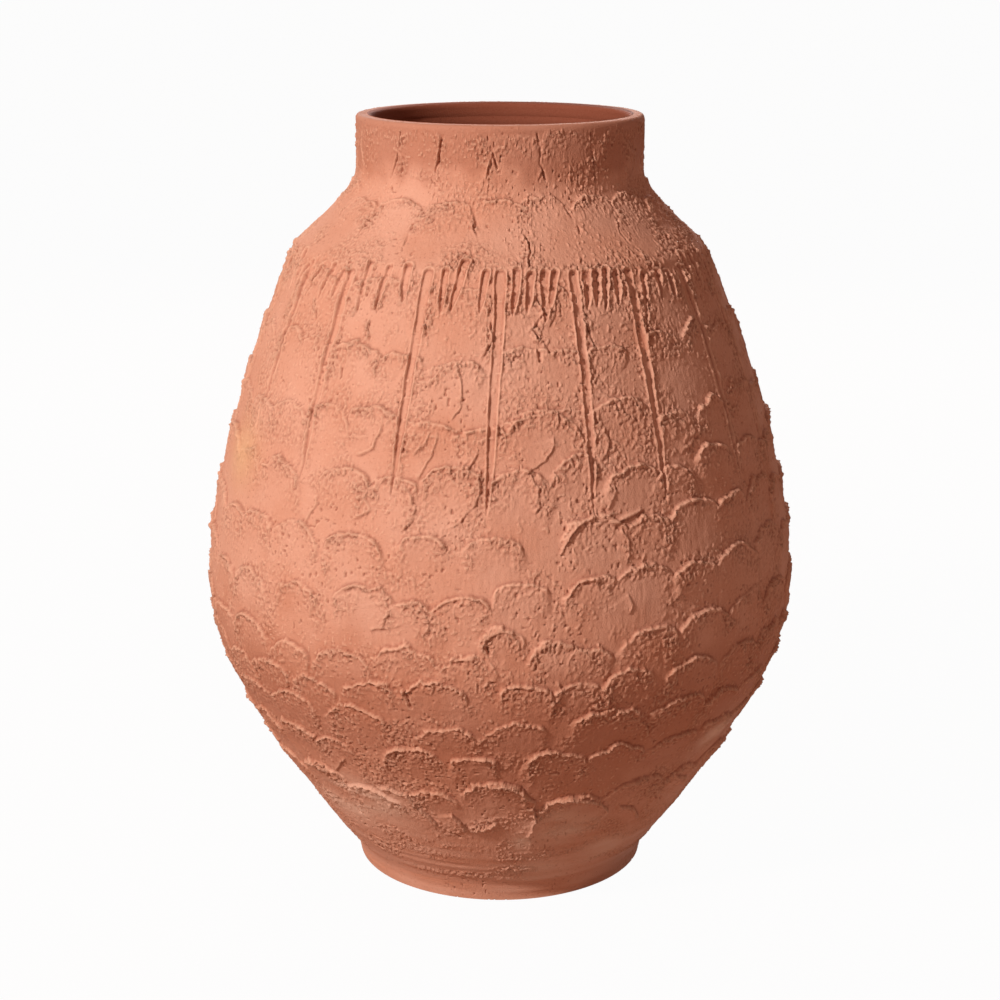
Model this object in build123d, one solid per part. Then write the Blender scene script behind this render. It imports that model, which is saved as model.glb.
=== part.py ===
from build123d import *
from math import acos, asin, atan2, cos, pi, sin
import os

# A large coil-built storage jar of terracotta.
# It stands on a flat slab, and its wall is a stack of clay coils that meet in bevelled joints.
# Each wall joint is sealed by a band of clay, pressed on and wiped downwards with the fingers.
# Millimetres, +Z up, origin at the centre of the standing face.

# Overall form, on the outside of the clay
base_radius = 154.0
foot_radius = 158.0
foot_height = 20.0
belly_radius = 308.0
belly_height = 320.0
belly_lower_bend = 220.0
belly_lower_turn = 25.0
belly_upper_bend = 408.0
belly_upper_turn = 11.3
shoulder_radius = 213.0
shoulder_height = 662.0
shoulder_bend = 40.0
shoulder_rise = 83.0
neck_radius = 147.0
neck_height = 55.0
neck_hollow = 34.0

# Clay thicknesses and edges
wall = 16.0
rim_coil_height = 15.0
rim_rounding = 5.0
foot_rounding = 3.0

# Coils and their joints
wall_coil_count = 13
shoulder_coil_count = 2
joint_bevel = 25.0

# Bands of clay smeared over the wall joints
smear_band_count = 11
smear_lift = 36.0
smear_lip = 4.0
smear_tail = 1.0
smear_clearance = 0.2

# How far a cutting shape runs past the clay that it cuts, and the shortest edge that is drawn
overrun = 30.0
shortest_edge = 0.001

# Heights that follow
neck_foot_height = shoulder_height + shoulder_rise
rim_height = neck_foot_height + neck_height


def section_point(radius, height):
    """A point of the jar's section, which lies in the XZ plane."""
    return Vector(radius, 0, height)


def towards(angle):
    """The unit direction in the section at that angle, in radians, above +X."""
    return section_point(cos(angle), sin(angle))


class Arc:
    """A round stretch of the outside line. hollow is True where its centre lies outside the clay."""

    def __init__(self, centre, radius, low_angle, high_angle, hollow=False):
        self.centre = centre
        self.radius = radius
        self.low_angle = low_angle
        self.high_angle = high_angle
        self.hollow = hollow

    def radius_at(self, inset):
        return self.radius + inset if self.hollow else self.radius - inset

    def point(self, angle, inset):
        return self.centre + towards(angle) * self.radius_at(inset)

    def heights(self, inset):
        return self.point(self.low_angle, inset).Z, self.point(self.high_angle, inset).Z

    def angle_at(self, height, inset):
        rise = asin((height - self.centre.Z) / self.radius_at(inset))
        return pi - rise if self.hollow else rise

    def at_height(self, height, inset=0.0):
        return self.point(self.angle_at(height, inset), inset)

    def inward(self, height):
        """The unit direction into the clay from the outside line at that height."""
        away = towards(self.angle_at(height, 0.0))
        return away if self.hollow else away * -1

    def edge(self, low, high, inset):
        start, end = self.angle_at(low, inset), self.angle_at(high, inset)
        middle = self.point((start + end) / 2, inset)
        return ThreePointArc(self.point(start, inset), middle, self.point(end, inset))


class Straight:
    """A straight stretch of the outside line, with the direction into the clay."""

    def __init__(self, low_point, high_point, into_clay):
        self.low_point = low_point
        self.high_point = high_point
        self.into_clay = into_clay

    def heights(self, inset):
        shift = self.into_clay.Z * inset
        return self.low_point.Z + shift, self.high_point.Z + shift

    def at_height(self, height, inset=0.0):
        low, high = (p + self.into_clay * inset for p in (self.low_point, self.high_point))
        return low + (high - low) * ((height - low.Z) / (high.Z - low.Z))

    def inward(self, height):
        return self.into_clay

    def edge(self, low, high, inset):
        return Line(self.at_height(low, inset), self.at_height(high, inset))


def arc_through(start, to_centre, end):
    """Centre and radius of the arc that leaves start square to to_centre and passes through end."""
    chord = end - start
    radius = chord.length**2 / (2 * chord.dot(to_centre))
    return start + to_centre * radius, radius


def angle_from(centre, point):
    away = point - centre
    return atan2(away.Z, away.X)


def outside_line():
    """The stretches of the outside from the slab to the rim, each tangent to the next."""
    # The belly turns about its widest point, more sharply below it than above.
    low_turn, high_turn = belly_lower_turn * pi / 180, belly_upper_turn * pi / 180
    low_centre = section_point(belly_radius - belly_lower_bend, belly_height)
    high_centre = section_point(belly_radius - belly_upper_bend, belly_height)
    low_belly = Arc(low_centre, belly_lower_bend, -low_turn, 0.0)
    high_belly = Arc(high_centre, belly_upper_bend, 0.0, high_turn)

    # The flare runs down from the belly to the slab, the upper wall runs up to the shoulder.
    foot = section_point(foot_radius, foot_height)
    flare_centre, flare_radius = arc_through(
        low_belly.point(-low_turn, 0.0), towards(-low_turn) * -1, foot
    )
    flare = Arc(flare_centre, flare_radius, angle_from(flare_centre, foot), -low_turn)
    shoulder = section_point(shoulder_radius, shoulder_height)
    wall_centre, wall_radius = arc_through(
        high_belly.point(high_turn, 0.0), towards(high_turn) * -1, shoulder
    )
    shoulder_angle = angle_from(wall_centre, shoulder)
    upper_wall = Arc(wall_centre, wall_radius, high_turn, shoulder_angle)

    # The shoulder bends over into a straight slope, which a hollow carries up into the neck.
    bend_centre = shoulder - towards(shoulder_angle) * shoulder_bend
    hollow_centre = section_point(neck_radius + neck_hollow, neck_foot_height)
    between = hollow_centre - bend_centre
    slope = angle_from(bend_centre, hollow_centre) - acos((shoulder_bend + neck_hollow) / between.length)
    bend = Arc(bend_centre, shoulder_bend, shoulder_angle, slope)
    hollow = Arc(hollow_centre, neck_hollow, pi + slope, pi, hollow=True)
    shoulder_slope = Straight(bend.point(slope, 0.0), hollow.point(pi + slope, 0.0), towards(slope) * -1)
    neck = Straight(
        section_point(neck_radius, neck_foot_height),
        section_point(neck_radius, rim_height),
        towards(pi),
    )
    return [flare, low_belly, high_belly, upper_wall, bend, shoulder_slope, hollow, neck]


outside = outside_line()


def stretch_at(height):
    """The stretch of the outside line that holds this height."""
    for stretch in outside:
        if height <= stretch.heights(0.0)[1]:
            return stretch
    return outside[-1]


def outside_at(height):
    return stretch_at(height).at_height(height)


def spans(inset, low, high):
    """The stretches met between two heights by the line at that inset, each with its own two heights."""
    met = []
    for stretch in outside:
        start, end = stretch.heights(inset)
        start = low if stretch is outside[0] else max(low, start)
        end = min(high, end)
        if end - start > shortest_edge:
            met.append((stretch, start, end))
    return met


def line_edges(inset, low, high):
    """The outside line moved into the clay by inset, between two heights, as edges from low to high."""
    return [stretch.edge(start, end, inset) for stretch, start, end in spans(inset, low, high)]


def closed_face(edges):
    return Face(Wire(edges))


def wall_section():
    """The section of the whole wall, from the slab's top to the rim."""
    outer, inner = (line_edges(inset, foot_height, rim_height) for inset in (0.0, wall))
    foot_line = Line(inner[0] @ 0, outer[0] @ 0)
    rim_line = Line(outer[-1] @ 1, inner[-1] @ 1)
    return closed_face([*outer, rim_line, *inner, foot_line])


def joint_line(height):
    """The two ends, past both skins of the wall, of the joint that meets the outside at that height."""
    start = outside_at(height)
    into_clay = stretch_at(height).inward(height).rotate(Axis.Y, joint_bevel)
    return start - into_clay * overrun, start + into_clay * (wall + overrun)


def coil_section(section, low_joint, high_joint):
    """The piece of the wall's section between two joints."""
    (low_out, low_in), (high_out, high_in) = low_joint, high_joint
    between = closed_face(Polyline(low_out, high_out, high_in, low_in, close=True).edges())
    return section & between


def turned(section):
    return revolve(section, Axis.Z)


def level_line(height):
    """A level joint line that reaches past both skins of the wall."""
    return (
        section_point(belly_radius + overrun, height),
        section_point(0.0, height),
    )


def evenly(low, high, count):
    """The heights that divide low to high into count equal courses, ends included."""
    return [low + (high - low) * step / count for step in range(count + 1)]


def base_slab():
    """The flat slab that the jar stands on. Its edge shows as the foot."""
    corners = [
        section_point(0.0, 0.0),
        section_point(base_radius, 0.0),
        section_point(foot_radius, foot_height),
        section_point(0.0, foot_height),
    ]
    section = closed_face(Polyline(*corners, close=True).edges())
    rim_of_slab = section.vertices().sort_by_distance(corners[1])[0]
    return turned(section.fillet_2d(foot_rounding, [rim_of_slab]))


def rim_coil(section):
    """The last coil, with both its upper edges rounded."""
    top = [v for v in section.vertices() if abs(v.Z - rim_height) < rim_rounding / 100]
    return turned(section.fillet_2d(rim_rounding, top))


wall_joints = evenly(foot_height, shoulder_height, wall_coil_count)
rim_joint = rim_height - rim_coil_height
shoulder_joints = evenly(shoulder_height, neck_foot_height, shoulder_coil_count)


def all_coils():
    """Every coil of the wall by name, from the slab to the rim."""
    section = wall_section()
    names = [f"wall_coil_{number:02d}" for number in range(1, wall_coil_count + 1)]
    names += [f"shoulder_coil_{number}" for number in range(1, shoulder_coil_count + 1)]
    names += ["neck_coil", "rim_coil"]
    bevelled = [joint_line(height) for height in wall_joints[1:] + shoulder_joints[1:]]
    joints = [level_line(foot_height - overrun), *bevelled, level_line(rim_joint)]
    joints.append(level_line(rim_height + overrun))
    pieces = {}
    for name, low_joint, high_joint in zip(names, joints, joints[1:]):
        piece = coil_section(section, low_joint, high_joint)
        pieces[name] = rim_coil(piece) if name == "rim_coil" else turned(piece)
    return pieces


def band_top(number):
    """The height of the lip of a smear band. Band 1 seals the lowest joint between two coils."""
    return wall_joints[number] + smear_lift


def smear_band(number):
    """A band of clay over a joint: a thick lip at the top, wiped down to a thin tail on the band below."""
    top, bottom = band_top(number), band_top(number - 1)

    def skin_point(height):
        depth = smear_tail + (smear_lip - smear_tail) * (height - bottom) / (top - bottom)
        return outside_at(height) + section_point(depth, 0.0)

    skin = []
    for _, start, end in spans(0.0, bottom, top):
        skin.append(ThreePointArc(*map(skin_point, (start, (start + end) / 2, end))))
    against_wall = line_edges(-smear_clearance, bottom, top)
    lip_line = Line(skin[-1] @ 1, against_wall[-1] @ 1)
    tail_line = Line(against_wall[0] @ 0, skin[0] @ 0)
    return turned(closed_face([*skin, lip_line, *against_wall, tail_line]))


def write(name, solid):
    export_step(solid, f"parts/{name}.step")


def main():
    os.makedirs("parts", exist_ok=True)
    write("base_slab", base_slab())
    for name, piece in all_coils().items():
        write(name, piece)
    for number in range(1, smear_band_count + 1):
        write(f"smear_band_{number:02d}", smear_band(number))


main()
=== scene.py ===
# %% [markdown]
# A large hand-built storage jar, a pithos, in red terracotta.
# The real jar is a stack of clay coils. The potter sealed every joint between two coils by pressing
# on soft clay and wiping it down with the fingers, so the wall is covered with rows of arched smears.
# Below the shoulder lies a fringe of finger strokes, some short and some long.
# Here each coil becomes its own piece. All the pieces take their outside from one relief that is
# worked out over the whole wall, so that a smear can run across the joint between two coils.

# %% Load the frame
import math

import bpy
import numpy as np
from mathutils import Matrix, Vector
from mathutils.bvhtree import BVHTree


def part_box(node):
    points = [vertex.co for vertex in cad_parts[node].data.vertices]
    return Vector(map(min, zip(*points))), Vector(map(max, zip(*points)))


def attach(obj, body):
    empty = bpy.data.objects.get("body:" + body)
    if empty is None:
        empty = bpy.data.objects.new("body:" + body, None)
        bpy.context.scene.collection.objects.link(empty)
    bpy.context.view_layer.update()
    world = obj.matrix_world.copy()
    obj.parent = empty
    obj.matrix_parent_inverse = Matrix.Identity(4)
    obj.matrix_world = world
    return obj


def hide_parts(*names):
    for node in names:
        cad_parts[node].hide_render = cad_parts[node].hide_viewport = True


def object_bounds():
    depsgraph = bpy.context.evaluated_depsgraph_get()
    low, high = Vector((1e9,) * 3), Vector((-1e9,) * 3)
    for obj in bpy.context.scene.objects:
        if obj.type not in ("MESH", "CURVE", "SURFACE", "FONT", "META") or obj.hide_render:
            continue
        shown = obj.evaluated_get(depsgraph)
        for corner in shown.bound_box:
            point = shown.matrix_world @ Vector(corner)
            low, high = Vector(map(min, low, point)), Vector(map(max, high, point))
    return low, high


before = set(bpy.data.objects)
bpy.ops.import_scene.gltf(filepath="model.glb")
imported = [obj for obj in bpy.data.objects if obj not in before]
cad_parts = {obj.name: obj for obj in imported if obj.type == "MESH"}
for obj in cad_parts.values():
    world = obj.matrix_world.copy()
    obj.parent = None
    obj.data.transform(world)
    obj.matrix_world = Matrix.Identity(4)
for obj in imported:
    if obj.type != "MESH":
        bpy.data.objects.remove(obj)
cad_low, cad_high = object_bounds()
bpy.ops.object.select_all(action="DESELECT")
MM = 0.001
print("solids' box in mm:", [round(v / MM, 1) for v in (*cad_low, *cad_high)])

# %% [markdown]
# The outline of the wall is already in the frame, so it is read there instead of being drawn again.
# Level rays are sent at the solids, from outside for the outer skin and from the axis for the inner
# one. Each hit tells how far the clay is from the axis, and which coil it belongs to.
# The rays come in at an odd angle, so that none of them runs along a seam of the solids.

# %% Read the outline of the wall
COILS = sorted(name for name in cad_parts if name.startswith("wall_coil"))
COILS += ["shoulder_coil_1", "shoulder_coil_2", "neck_coil", "rim_coil"]
STACK = ["base_slab", *COILS]
RAY_ANGLE = 0.37
RAY_STEP = 0.5
RAY_START = 1000.0
jar_height = cad_high.z / MM

corners, faces, face_owner = [], [], []
for number, name in enumerate(STACK):
    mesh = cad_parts[name].data
    first = len(corners)
    corners += [v.co / MM for v in mesh.vertices]
    faces += [[first + v for v in p.vertices] for p in mesh.polygons]
    face_owner += [number] * len(mesh.polygons)
clay = BVHTree.FromPolygons(corners, faces)
ray_way = Vector((math.cos(RAY_ANGLE), math.sin(RAY_ANGLE), 0.0))


def read_skin(heights, from_outside):
    """Radius and owner of the clay that level rays meet at these heights, in mm."""
    radii, owners = [], []
    for height in heights:
        start = Vector((0.0, 0.0, height)) + ray_way * (RAY_START if from_outside else 0.0)
        place, _, face, _ = clay.ray_cast(start, -ray_way if from_outside else ray_way)
        radii.append(place.xy.length)
        owners.append(face_owner[face])
    return np.array(radii), np.array(owners)


heights = np.arange(RAY_STEP / 2, jar_height, RAY_STEP)
floor_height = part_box("base_slab")[1].z / MM
outer_radius, outer_owner = read_skin(heights, True)
inner_heights = heights[heights > floor_height]
inner_radius, inner_owner = read_skin(inner_heights, False)
print("widest radius in mm:", round(outer_radius.max(), 1), "mouth radius:", round(inner_radius.min(), 1))

# %% [markdown]
# The outside is now cut into level rows, about 1.3 mm apart along the clay, and into upright columns,
# which stand closer together in front. A row lies exactly on every joint, so that two neighbouring
# coils share it. Near the foot the outline is rounded, because a potter wipes the wall into the slab.
# out_r and out_z point out of the clay in each row: this is the way in which the relief will grow.

# %% Lay out rows and columns on the outside
ROW_STEP = 1.32
COLUMNS = 1280
FRONT_DENSER = 0.36
SMOOTHING = 9.0
FOOT_ROUNDING = 26.0
FOOT_TOP = 60.0
FOOT_BLEND = 20.0

lip_radius = inner_radius[-1]
line_radius = np.append(outer_radius, lip_radius)
line_height = np.append(heights, heights[-1])
line_length = np.concatenate([[0.0], np.cumsum(np.hypot(np.diff(line_radius), np.diff(line_height)))])
ends = [line_length[outer_owner.searchsorted(n)] for n in range(len(STACK))] + [line_length[-1]]

row_length, first_row = [], []
for start, end in zip(ends, ends[1:]):
    count = int(math.ceil((end - start) / ROW_STEP))
    first_row.append(len(row_length))
    row_length += list(np.linspace(start, end, count, endpoint=False))
first_row.append(len(row_length))
row_length.append(line_length[-1])
row_length = np.array(row_length)
row_radius = np.interp(row_length, line_length, line_radius)
row_height = np.interp(row_length, line_length, line_height)


def smooth_rows(values, spread):
    """Each row's mean over its neighbours within the spread, in mm."""
    half = max(1, int(spread / ROW_STEP / 2))
    padded = np.pad(values, half, mode="edge")
    return np.convolve(padded, np.ones(2 * half + 1) / (2 * half + 1), mode="valid")


at_foot = np.clip((FOOT_TOP - row_height) / FOOT_BLEND, 0.0, 1.0)
row_radius = row_radius + at_foot * (smooth_rows(row_radius, FOOT_ROUNDING) - row_radius)
rise_r = np.gradient(smooth_rows(row_radius, SMOOTHING), row_length)
rise_z = np.gradient(smooth_rows(row_height, SMOOTHING), row_length)
steep = np.hypot(rise_r, rise_z)
out_r, out_z = rise_z / steep, -rise_r / steep

turn = -math.pi + 2 * math.pi * np.arange(COLUMNS) / COLUMNS
theta = turn - FRONT_DENSER * np.sin(turn)


def ring_of(radius, height):
    """Points all the way round, one row for each radius and height, in mm."""
    rows = np.empty((len(radius), COLUMNS, 3), np.float32)
    rows[..., 0] = radius[:, None] * np.sin(theta)
    rows[..., 1] = -radius[:, None] * np.cos(theta)
    rows[..., 2] = height[:, None]
    return rows


points = ring_of(row_radius, row_height)
print("rows:", len(row_length), "columns:", COLUMNS)

# %% [markdown]
# Clay is never even, so a seeded noise is needed, at any grain size in millimetres.
# Random values sit on a lattice in space and are blended smoothly between its corners.
# The edge fields let the edge of a smear wander, ragged breaks a line into pieces, and grainy and
# patchy gather the crumbs in clusters.

# %% Seeded noise in space
LATTICE_SIZE = 65536
LATTICE = np.random.default_rng(4820).uniform(-1.0, 1.0, LATTICE_SIZE).astype(np.float32)
CELL_PRIMES = np.array([73856093, 19349663, 83492791])
SEED_SHIFT = 17.3


def noise(grain, seed, stretch=(1.0, 1.0, 1.0), at=points):
    """Values from -1 to 1 over the wall, with lumps of about this grain in mm."""
    place = at.reshape(-1, 3) / (grain * np.array(stretch, np.float32)) + SEED_SHIFT * seed
    cell = np.floor(place).astype(np.int64)
    part = (place - cell).astype(np.float32)
    part = part * part * (3.0 - 2.0 * part)
    total = np.zeros(len(place), np.float32)
    for corner in range(8):
        bits = np.array([corner & 1, corner >> 1 & 1, corner >> 2 & 1])
        weight = np.prod(np.where(bits, part, 1.0 - part), axis=1)
        key = (cell + bits) * CELL_PRIMES
        total += weight * LATTICE[(key[:, 0] ^ key[:, 1] ^ key[:, 2]) & (LATTICE_SIZE - 1)]
    return total.reshape(at.shape[:-1])


def ease(value, low, high):
    """0 below low, 1 above high, and a smooth step between."""
    share = np.clip((value - low) / (high - low), 0.0, 1.0)
    return share * share * (3.0 - 2.0 * share)


edge_slow = noise(17, 1)
edge_quick = noise(6, 2)
edge_fine = noise(3.2, 8)
edge_side = noise(14, 3)
ragged = noise(9, 4)
grainy = ease(noise(38, 9), -0.05, 0.45)
patchy = 0.4 + 0.6 * ease(noise(10, 26), -0.25, 0.25)
print("noise spans", round(float(edge_slow.min()), 2), "to", round(float(edge_slow.max()), 2))

# %% [markdown]
# The relief is painted like the potter worked: what is done later covers what lies under it.
# relief is the height of the clay above the plain wall in mm, crumb tells how torn and grainy the
# clay is, frayed marks the torn upper edges, and tone is each smear's own small shift of colour.
# A smear hides what is under it, so it is set in place of the old relief. Between the two limits of a
# span or a share each smear draws its own measure, in mm for a fade, a tilt or a depth.

# %% The wipe of a hand
relief = 0.5 * noise(55, 5)
crumb = 0.05 + 0.5 * ease(noise(26, 6), 0.0, 0.45)
tone = 0.4 * noise(45, 7)
frayed = np.zeros_like(relief)
draw = np.random.default_rng(77)

TAIL_SHARE = (1.7, 2.6)
TEAR_SHARE = (0.5, 1.4)
LEAN_SHARE = (-0.25, 0.25)
FADE_SPAN = (2.0, 10.0)
TILT_SPAN = (-0.5, 0.5)
RIGHT_EDGE_SHARE = (-0.4, 0.6)
TEAR_DEPTH_SPAN = (7.0, 22.0)
TEAR_LEAN_SHARE = (-0.8, 0.8)
GRAIN_SHARE = (0.0, 0.3)
TONE_SPAN = (-0.6, 0.6)


def around(angle):
    """Angles of all the columns from this one, in radians, the short way round."""
    return (theta - math.radians(angle) + math.pi) % (2 * math.pi) - math.pi


def patch_at(angle, top, reach_side, reach_up, reach_down):
    """Rows and columns near a place on the wall, with distances from it across and down, in mm."""
    top_length = np.interp(top, row_height, row_length)
    down = top_length - row_length
    rows = np.flatnonzero((down > -reach_up) & (down < reach_down))
    turn = around(angle)
    columns = np.flatnonzero(np.abs(turn) < reach_side / row_radius[rows].min())
    across = turn[columns][None, :] * row_radius[rows][:, None]
    return np.ix_(rows, columns), across, np.repeat(down[rows][:, None], len(columns), axis=1)


def wipe(angle, top, half_width, rise, thick, lip):
    """One smear: a thin egg-shaped scale of clay with a torn top edge, wiped out to nothing lower down."""
    tail = rise * draw.uniform(*TAIL_SHARE)
    patch, across, down = patch_at(angle, top, half_width + 16, reach_up=14, reach_down=rise + tail + 6)
    tear = draw.uniform(*TEAR_SHARE)
    down = down + tear * (4.2 * edge_slow[patch] + 1.9 * edge_quick[patch] + edge_fine[patch])
    across = across + draw.uniform(*LEAN_SHARE) * down + 3.2 * edge_side[patch] + 0.9 * edge_quick[patch]
    # The scale is an ellipse with a short upper half and a long lower one. inside is the way to its edge.
    half_height = np.where(down < rise, rise, tail)
    lift = (down - rise) / half_height
    far = np.hypot(across / half_width, lift)
    slope = np.hypot(across / half_width**2, lift / half_height) / np.maximum(far, 0.001)
    inside = (1.0 - far) / np.maximum(slope, 0.0001)
    # It covers what is there, ends in a sharp step at the top and fades out along its tail.
    soft = 0.45 + draw.uniform(*FADE_SPAN) * ease(down, 0.45 * rise, 1.3 * rise)
    cover = ease(inside, -soft - 1.2, soft) * (1.0 - 0.9 * ease(down, rise + 0.3 * tail, rise + tail))
    pressed = ease(inside, 0.0, 20.0)
    level = thick * (1.0 - ease(down, 0.0, rise + 0.9 * tail)) - 0.12 * thick * pressed
    level += draw.uniform(*TILT_SPAN) * across / half_width
    relief[patch] += cover * (level - relief[patch])
    # Clay that was pushed aside curls up along the top edge, and on some smears down the right side.
    curled = 1.0 - ease(down, 0.2 * rise, rise)
    right = draw.uniform(*RIGHT_EDGE_SHARE) * ease(across, 0.4 * half_width, 0.9 * half_width)
    curled = np.maximum(curled, right * (1.0 - ease(down, rise, rise + 0.7 * tail)))
    bank = np.where(inside < 0.8, 2.1, 1.4)
    crest = lip * np.exp(-(((inside - 0.8) / bank) ** 2)) * curled
    relief[patch] += crest * np.clip(0.65 + 1.1 * ragged[patch], 0.1, 1.6)
    frayed[patch] = np.maximum(frayed[patch], curled * np.exp(-(((inside - 2.0) / 3.5) ** 2)))
    # The clay is torn inside the top edge and smooth further down.
    upper = 1.0 - ease(down, rise, 2.3 * rise)
    torn = np.exp(-np.clip(inside, 0.0, None) / draw.uniform(*TEAR_DEPTH_SPAN)) * upper
    torn *= 1.0 + draw.uniform(*TEAR_LEAN_SHARE) * across / half_width
    torn = np.clip(1.4 * torn - 0.1, 0.0, 1.0) * patchy[patch] + draw.uniform(*GRAIN_SHARE) * grainy[patch]
    crumb[patch] += cover * (torn - crumb[patch])
    tone[patch] += cover * (draw.uniform(*TONE_SPAN) - tone[patch]) * 0.6


print("relief before the smears, mm:", round(float(relief.min()), 2), round(float(relief.max()), 2))

# %% [markdown]
# A fingertip that is dragged down leaves a flat groove. The clay that it pushes aside stands up along
# both sides as a burr, and the groove runs out to a point where the finger leaves the wall.

# %% The stroke of a finger
def stroke(angle, top, slant, bottom, half_width, depth, burr):
    """One drag of a fingertip: a flat groove with raised edges that runs out to a point."""
    length = np.interp(top, row_height, row_length) - np.interp(bottom, row_height, row_length)
    patch, across, down = patch_at(angle, top, half_width + 18, reach_up=6, reach_down=length + 4)
    share = np.clip(down / length, 0.0, 1.0)
    across = across - math.radians(slant) * share * row_radius[patch[0]] + 0.9 * edge_slow[patch]
    width = half_width * (1.0 - 0.35 * share) * np.sqrt(np.clip((1.0 - share) / 0.3, 0.0, 1.0))
    inside = width - np.hypot(across, np.clip(half_width - down, 0.0, None))
    cover = ease(inside, -0.3, 1.0)
    groove = -depth * (1.0 - 0.4 * share)
    relief[patch] += cover * (groove - 0.8 * relief[patch])
    edge = burr * np.exp(-((inside + 0.9) ** 2)) * (1.0 - ease(share, 0.8, 1.0))
    relief[patch] += edge * np.clip(0.8 + 0.9 * ragged[patch], 0.1, 1.6)
    crumb[patch] *= 1.0 - cover
    crumb[patch] += 0.5 * np.exp(-(((inside + 4.0) / 3.5) ** 2)) * ease(ragged[patch], -0.2, 0.3)


# %% [markdown]
# Other marks follow a line that the eye can trace: rolls, dents, the edges of scales and torn seams.
# Such a line is a course of angles and heights, and each point near it gets its distance from it.

# %% Marks along a course
def beside(course, reach):
    """The patch round a course of places, each an angle and a height, and where its points lie.

    Gives the distance from the course in mm, positive on the right hand of someone who walks along
    it, and the share of the course that has been walked.
    """
    first_angle, first_height = course[0]
    first_length = np.interp(first_height, row_height, row_length)
    spots = []
    for angle, height in course:
        run = math.radians(angle - first_angle) * np.interp(height, row_height, row_radius)
        spots.append(Vector((run, first_length - np.interp(height, row_height, row_length))))
    wide = max(abs(spot.x) for spot in spots) + reach
    up = reach - min(spot.y for spot in spots)
    patch, across, down = patch_at(first_angle, first_height, wide, up, max(s.y for s in spots) + reach)
    nearest = np.full(across.shape, np.inf)
    walked = np.zeros(across.shape)
    for number, (start, end) in enumerate(zip(spots, spots[1:])):
        leg = end - start
        right, below = across - start.x, down - start.y
        share = np.clip((right * leg.x + below * leg.y) / leg.length_squared, 0.0, 1.0)
        far = np.hypot(right - share * leg.x, below - share * leg.y)
        side = np.where(leg.x * below - leg.y * right < 0.0, -1.0, 1.0)
        closer = far < np.abs(nearest)
        nearest = np.where(closer, side * far, nearest)
        walked = np.where(closer, (number + share) / (len(spots) - 1), walked)
    return patch, nearest, walked


def roll(course, width, height):
    """A lip of clay along a course: it climbs towards the right hand, drops there, and has pointed ends."""
    patch, side, walked = beside(course, 4 * width)
    plump = np.sqrt(np.sin(math.pi * np.clip(walked, 0.01, 0.99)))
    climbed = 0.5 + 0.5 * (side + 0.6 * edge_quick[patch]) / (width * plump)
    here = relief[patch] + height * plump * ease(climbed, 0.0, 0.85)
    relief[patch] = np.where((climbed > 0.0) & (climbed < 1.0), here, relief[patch])


def dent(course, width, depth):
    """A hollow along a course, left by a fingertip or a lost stone, or torn open as the clay dried."""
    patch, side, _ = beside(course, 4 * width)
    far = np.abs(side + 0.9 * edge_quick[patch]) / width
    relief[patch] -= depth * np.clip(0.75 + 0.9 * ragged[patch], 0.2, 1.2) * (1.0 - ease(far, 0.2, 1.0))


def ledge(course, height, reach):
    """The edge of a scale of clay: raised on the right hand of the course, and sloping away from it."""
    patch, side, walked = beside(course, reach + 20.0)
    side = side + 1.6 * edge_slow[patch] + 1.1 * edge_quick[patch] + 0.5 * edge_fine[patch]
    ends = ease(walked, 0.0, 0.15) * (1.0 - ease(walked, 0.85, 1.0))
    raised = ease(side, -0.5, 0.5) * np.exp(-np.clip(side, 0.0, None) / reach)
    relief[patch] += height * ends * (raised + 0.5 * np.exp(-((side - 0.9) ** 2)))
    crumb[patch] += 0.35 * ends * np.exp(-(((side - 3.0) / 5.0) ** 2)) * ease(ragged[patch], -0.2, 0.4)


def seam(course, depth, crumbs):
    """A torn seam between two smears: a thin ragged slit with crumbs on both sides."""
    patch, side, walked = beside(course, 24.0)
    side = side + 2.8 * edge_slow[patch] + 1.5 * edge_quick[patch]
    pointed = np.sqrt(np.sin(math.pi * np.clip(walked, 0.02, 0.98)))
    broken = np.clip(0.45 + 1.3 * ragged[patch], 0.0, 1.3) * pointed
    relief[patch] -= depth * broken * np.exp(-(side**2))
    relief[patch] += 0.9 * broken * np.exp(-(((side - 2.2) / 1.4) ** 2))
    near = crumbs * np.exp(-((side / 6.0) ** 2))
    crumb[patch] += near * ease(edge_side[patch] + ragged[patch], -0.4, 0.4) * broken
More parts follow.
